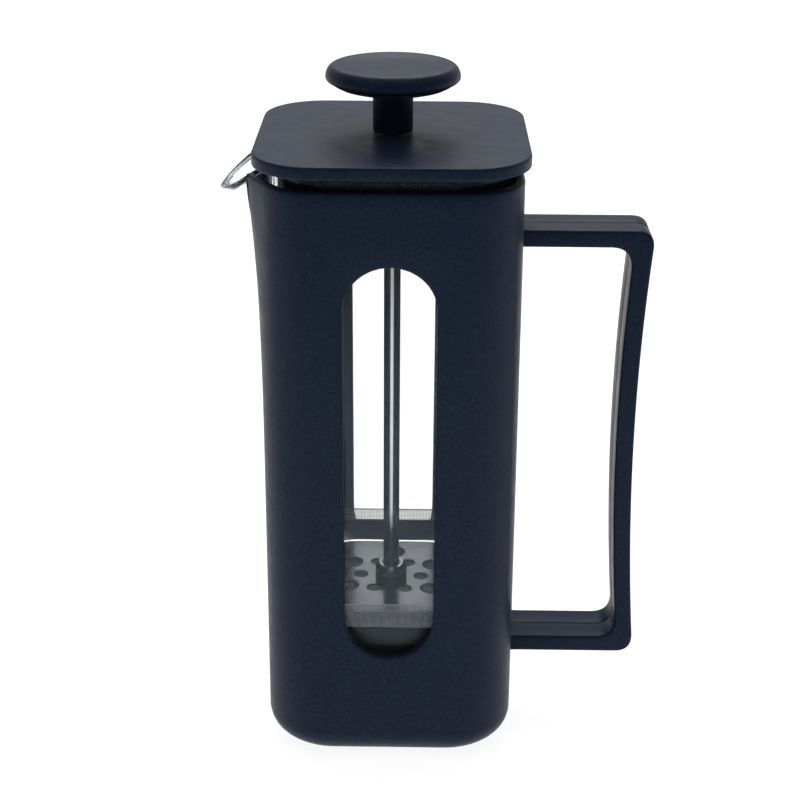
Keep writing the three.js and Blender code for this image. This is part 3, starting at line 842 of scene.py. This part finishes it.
def tray():
    """The pressed tray: a floor with two rings of holes and a wall that slopes up to a short upright lip."""
    half, corner, sheet = TRAY_HIGH.x - 0.8, 17.5, 0.5
    floor_low, floor_top, rim = TRAY_LOW.z, TRAY_LOW.z + sheet, TRAY_HIGH.z + 0.9
    base = square_ring(half, corner, (-7, 0, 7), arc=14)

    def inward(inset, z):
        return [Vector(p) for p in shrunk(base, half, inset, z)]

    wide, tall, turn = 7.3, 4.4, 0.6  # the slope's width and rise, and the size of the folds at its ends

    def slope(inset, low, height):
        """Insets and heights up the sloping wall: flat floor, fold, slope, fold, upright lip."""
        away, up = (wide - inset) / math.hypot(wide, tall), tall / math.hypot(wide, tall)
        start, end = (wide, low), (inset, low + tall)
        bottom = fillet(start, (wide + turn, low), (start[0] - away, start[1] + up), turn, 4)
        top = fillet(end, (end[0] + away, end[1] - up), (inset, end[1] + turn), height, 4)
        return bottom + top

    outer = [inward(*step) for step in slope(0, floor_low, 0.5)]
    inner = [inward(*step) for step in slope(sheet, floor_top, 0.35)]
    lip = [inward(sheet * (1 - math.cos(a)) / 2, rim - sheet / 2 + sheet / 2 * math.sin(a))
           for a in spread(0, math.pi, 6)]
    chamfer = 0.12  # on the edges of the holes
    bm = bmesh.new()

    def add_ring(points):
        return [bm.verts.new(p * MM) for p in points]

    def add_band(a, b):
        for i in range(len(a)):
            j = (i + 1) % len(a)
            bm.faces.new((a[i], a[j], b[j], b[i]))

    rings = [add_ring(points) for points in [*outer, *lip, *reversed(inner)]]
    for a, b in zip(rings, rings[1:]):
        add_band(a, b)
    faces = {"low": [rings[0]], "top": [rings[-1]]}
    for x, y, radius in hole_places():
        circle = [(math.cos(t), math.sin(t)) for t in spread(0, 2 * math.pi, 36)[:-1]]
        levels = [(radius + chamfer, floor_low), (radius, floor_low + chamfer), (radius, floor_top - chamfer),
                  (radius + chamfer, floor_top)]
        wall = [add_ring([Vector((x + r * cx, y + r * cy, z)) for cx, cy in circle]) for r, z in levels]
        for a, b in zip(wall, wall[1:]):
            add_band(a, b)
        faces["low"].append(wall[0])
        faces["top"].append(wall[-1])
    for loops in faces.values():
        edges = [bm.edges.get((loop[i - 1], loop[i])) for loop in loops for i in range(len(loop))]
        bmesh.ops.triangle_fill(bm, edges=edges, use_beauty=True)
    bmesh.ops.recalc_face_normals(bm, faces=bm.faces)
    mesh = bpy.data.meshes.new("tray_sheet")
    bm.to_mesh(mesh)
    bm.free()
    place(bpy.data.objects.new("tray_sheet", mesh), "pressed_steel", "filter", ["filter_tray"], 32)


class Weave:
    """Woven wire: thin square-section wires along given paths, added to one mesh."""

    def __init__(self, thickness):
        self.surface = Surface()
        self.half = thickness / 2

    def wire(self, path, across, closed=False):
        """One wire along the path; across gives the direction out of the cloth at each point."""
        rings = []
        count = len(path)
        for i, point in enumerate(path):
            before = path[i - 1] if closed or i else point
            after = path[(i + 1) % count] if closed or i < count - 1 else point
            along = (after - before).normalized()
            out = across[i]
            side = along.cross(out).normalized()
            rings.append(self.surface.ring(
                point + (out * math.cos(a) + side * math.sin(a)) * self.half
                for a in spread(0, 2 * math.pi, 4)[:-1]
            ))
        self.surface.bands(rings, closed_up=closed)
        if not closed:
            self.surface.cap(rings[0])
            self.surface.cap(rings[-1])


def walk(points, spacing):
    """Places at even spacing round a closed outline, each with its outward direction."""
    lengths = [(Vector(points[(i + 1) % len(points)]) - Vector(p)).length for i, p in enumerate(points)]
    total = sum(lengths)
    count = round(total / spacing)
    places = []
    index, passed = 0, 0.0
    for k in range(count):
        target = total * k / count
        while passed + lengths[index] < target:
            passed += lengths[index]
            index += 1
        a, b = Vector(points[index]), Vector(points[(index + 1) % len(points)])
        along = (b - a).normalized()
        places.append((a + along * (target - passed), Vector((along.y, -along.x))))
    return places


UP = Vector((0, 0, 1))
WIRE, EDGE_WIRE = 0.17, 0.32  # thickness of the cloth's wires and of those along its edges
WALL_PITCH, FLOOR_PITCH = 0.52, 0.66
RIPPLE = WIRE * 0.45  # how far a wire swings to pass over and under the others
CLOTH_FOLD = 1.0  # radius of the fold between the cloth's floor and its wall
CLOTH_CORNER, CLOTH_SHEET = 18.7, 0.4
CLOTH_RIM = MESH_HIGH.z + 0.8


def upright_wires(weave, places, low, rows):
    """The wires that turn up out of the floor and run up the wall, whose lowest row is at low."""
    for k, (spot, out) in enumerate(places):
        path, across = [], []
        for a in spread(0, math.pi / 2, 3)[:-1]:
            path.append(spot - out * CLOTH_FOLD * (1 - math.sin(a)) + UP * (low - CLOTH_FOLD * math.cos(a)))
            across.append((out * math.sin(a) - UP * math.cos(a)).normalized())
        for row in range(rows + 1):
            swing = RIPPLE if (row + k) % 2 else -RIPPLE
            path.append(spot + out * swing + UP * (low + row * WALL_PITCH))
            across.append(out)
        weave.wire(path, across)


def level_wires(weave, places, low, rows):
    """The wires that run round the wall, and the thicker ones along its top and its fold."""
    for row in range(rows + 1):
        path = []
        for k, (spot, out) in enumerate(places):
            swing = -RIPPLE if (row + k) % 2 else RIPPLE
            path.append(spot + out * swing + UP * (low + row * WALL_PITCH))
        weave.wire(path, [out for _, out in places], closed=True)
    weave.half = EDGE_WIRE / 2
    for height in (CLOTH_RIM - 0.1, low):
        path = [spot + UP * height for spot, _ in places[::4]]
        weave.wire(path, [out for _, out in places[::4]], closed=True)
    weave.half = WIRE / 2


def floor_wires(weave, middle):
    """The two layers of straight wires under the tray, left out where the clamp's stud passes."""
    reach = middle - CLOTH_FOLD
    low = MESH_LOW.z + WIRE
    for k in range(int(-reach / FLOOR_PITCH), int(reach / FLOOR_PITCH) + 1):
        offset = k * FLOOR_PITCH
        beyond = max(0.0, abs(offset) - (middle - CLOTH_CORNER))
        limit = reach - (CLOTH_CORNER - math.sqrt(max(0.0, CLOTH_CORNER**2 - beyond**2)))
        hole = math.sqrt(max(0.0, 3.0**2 - offset**2))
        for start, end in (((-limit, -hole), (hole, limit)) if hole else ((-limit, limit),)):
            weave.wire([Vector((s, offset, low)) for s in (start, end)], [UP, UP])
            weave.wire([Vector((offset, s, low + WIRE * 0.9)) for s in (start, end)], [UP, UP])


def woven_band():
    """The cloth of woven wire that wraps the tray: a floor and an upturned wall that stands above the rim."""
    middle = MESH_HIGH.x - CLOTH_SHEET / 2
    outline = square_ring(middle, CLOTH_CORNER - CLOTH_SHEET / 2, (0,), arc=16)
    places = [(Vector((*spot, 0)), Vector((*away, 0))) for spot, away in walk(outline, WALL_PITCH)]
    rows = int((CLOTH_RIM - MESH_LOW.z - CLOTH_FOLD) / WALL_PITCH)
    low = MESH_LOW.z + WIRE + CLOTH_FOLD
    weave = Weave(WIRE)
    upright_wires(weave, places, low, rows)
    level_wires(weave, places, low, rows)
    floor_wires(weave, middle)
    weave.surface.object("woven_cloth", "woven_steel", "filter", ["filter_mesh"], angle=80)


def hub():
    """The round nut that stands on the tray and takes the rod."""
    radius, low, top = HUB_HIGH.x, HUB_LOW.z, HUB_HIGH.z
    bore = 2.75
    profile = rounded_profile([(bore, low, 0), (radius, low, 0.3), (radius, top - 1.3, 0.25),
                               (radius - 1.05, top, 0.3), (bore + 0.3, top, 0), (bore, top - 0.3, 0)])
    turned(profile, "hub_nut", "turned_steel", "filter", ["rod_hub"], sides=64)


# ------------------------------------------------------------------ CAD pieces that keep their shape

def finish_cad_nodes():
    """The hidden pieces keep their CAD shape, with softened edges and their own material."""
    slots = {part["node"]: part["material_slot"] for part in frame["record"]["subparts"]}
    for name, obj in frame["nodes"].items():
        material = MATERIALS[slots[name]]
        obj.data.materials.clear()
        obj.data.materials.append(material)
        bevel = obj.modifiers.new("soft_edges", "BEVEL")
        bevel.width = 0.00015
        bevel.segments = 2
        bevel.limit_method = "ANGLE"
        bevel.angle_limit = math.radians(40)
        bevel.harden_normals = True


# ------------------------------------------------------------------ studio

CAMERA_AT = (7.94, -484.5, 321.33)
CAMERA_TURN = (23.5415, -0.6315, 0.3531)  # degrees: down, to the right, and rolled
CAMERA_LENS, CAMERA_SENSOR = 74.514, 36.0


def camera():
    """A short telephoto view from the front, a little above, as an object photograph is taken."""
    data = bpy.data.cameras.new("camera")
    data.sensor_width = CAMERA_SENSOR
    data.lens = CAMERA_LENS
    data.clip_start, data.clip_end = 0.02, 20.0
    obj = bpy.data.objects.new("camera", data)
    bpy.context.scene.collection.objects.link(obj)
    pitch, yaw, roll = (math.radians(v) for v in CAMERA_TURN)
    forward = Vector((math.sin(yaw) * math.cos(pitch), math.cos(yaw) * math.cos(pitch), -math.sin(pitch)))
    right = Vector((math.cos(yaw), -math.sin(yaw), 0))
    above = right.cross(forward)
    tilted = right * math.cos(roll) + above * math.sin(roll)
    upward = above * math.cos(roll) - right * math.sin(roll)
    turn = Matrix((tilted, upward, -forward)).transposed()
    obj.matrix_world = Matrix.Translation(Vector(CAMERA_AT) * MM) @ turn.to_4x4()
    bpy.context.scene.camera = obj


# How bright the surroundings are in front of the object, beside it, behind it and above it.
FRONT_GLOW, SIDE_GLOW, BACK_GLOW, ZENITH_GLOW = 0.055, 0.43, 0.60, 0.9
# How the floor's own glow changes towards -Y: (metres from the middle, value).
FLOOR_GLOW = ((-1.0, 0.22), (-0.5, 0.3), (-0.26, 1.4), (-0.08, 0.9))
FLOOR_REACH = 6.0
# Each light's name, place and size in metres, and watts.
LIGHTS = (
    ("top_light", (0.0, 0.7, 1.05), 0.7, 8.0),
    ("left_light", (-0.7, -0.7, 0.95), 0.6, 1.1),
    ("right_light", (0.7, -0.7, 0.95), 0.6, 1.1),
)


def set_stops(ramp, stops, blue=1.0):
    """Gives a colour ramp its greys: stops are (place from 0 to 1, value)."""
    ramp.color_ramp.interpolation = "EASE"
    elements = ramp.color_ramp.elements
    while len(elements) < len(stops):
        elements.new(0.5)
    for element, (position, value) in zip(elements, stops):
        element.position = position
        element.color = (value, value, value * blue, 1)


def surroundings():
    """A backdrop that is bright behind and above the object and dim in front of it."""
    world = bpy.data.worlds.new("studio")
    bpy.context.scene.world = world
    world.use_nodes = True
    tree = world.node_tree
    back = tree.nodes["Background"]
    where = tree.nodes.new("ShaderNodeTexCoord")
    split = tree.nodes.new("ShaderNodeSeparateXYZ")
    tree.links.new(where.outputs["Generated"], split.inputs["Vector"])

    def band(source, stops):
        """A grey that changes along one direction."""
        ramp = tree.nodes.new("ShaderNodeValToRGB")
        set_stops(ramp, stops, blue=1.01)
        spot = tree.nodes.new("ShaderNodeMapRange")
        spot.inputs["From Min"].default_value = -1.0
        tree.links.new(source, spot.inputs["Value"])
        tree.links.new(spot.outputs["Result"], ramp.inputs["Fac"])
        return ramp.outputs["Color"]

    level = [(0.0, FRONT_GLOW), (0.45, FRONT_GLOW * 1.5), (0.66, SIDE_GLOW), (0.90, BACK_GLOW)]
    mixed = tree.nodes.new("ShaderNodeMix")
    mixed.data_type = "RGBA"
    tree.links.new(band(split.outputs["Z"], [(0.5, 0.0), (0.86, 0.0), (0.97, 1.0)]), mixed.inputs["Factor"])
    tree.links.new(band(split.outputs["Y"], level), mixed.inputs["A"])
    mixed.inputs["B"].default_value = (ZENITH_GLOW, ZENITH_GLOW, ZENITH_GLOW * 1.02, 1)
    tree.links.new(mixed.outputs["Result"], back.inputs["Color"])
    back.inputs["Strength"].default_value = 1.0


def floor_paper():
    """Pale paper that glows a little, by how far in front of the object it lies."""
    n = Nodes("floor_paper")
    n.set(Roughness=0.9, Specular_IOR_Level=0.1, Emission_Strength=1.0)
    across = n.add("ShaderNodeSeparateXYZ")
    n.link(n.where, across.inputs["Vector"])
    away = n.add("ShaderNodeMapRange")
    away.inputs["From Min"].default_value = -1.0
    away.inputs["From Max"].default_value = 0.0
    n.link(across.outputs["Y"], away.inputs["Value"])
    glow = n.add("ShaderNodeValToRGB")
    set_stops(glow, [(1 + place_at, value) for place_at, value in FLOOR_GLOW])
    n.link(away.outputs["Result"], glow.inputs["Fac"])
    n.link(glow.outputs["Color"], n.shader.inputs["Emission Color"])
    n.link(n.ramp(n.noise(3, 2), (0.28, 0.28, 0.28), (0.30, 0.30, 0.30)), n.shader.inputs["Base Color"])
    return n.material


def studio():
    """The surroundings, the floor and soft lights."""
    scene = bpy.context.scene
    scene.view_settings.view_transform = "Standard"
    surroundings()
    mesh = bpy.data.meshes.new("floor")
    corners = [(x * FLOOR_REACH, y * FLOOR_REACH, 0) for x, y in ((-1, -1), (1, -1), (1, 1), (-1, 1))]
    mesh.from_pydata(corners, [], [(0, 1, 2, 3)])
    mesh.materials.append(floor_paper())
    floor = bpy.data.objects.new("floor", mesh)
    floor.location.z = -0.0002
    scene.collection.objects.link(floor)
    for name, spot, size, power in LIGHTS:
        data = bpy.data.lights.new(name, "AREA")
        data.shape = "SQUARE"
        data.size = size
        data.energy = power
        light = bpy.data.objects.new(name, data)
        scene.collection.objects.link(light)
        light.location = spot
        light.rotation_euler = (Vector((0, 0, 0.1)) - Vector(spot)).to_track_quat("-Z", "Y").to_euler()


camera()
studio()
finish_cad_nodes()
Holder().build()
handle()
Beaker().build()
lid()
knob()
rod()
tray()
woven_band()
hub()
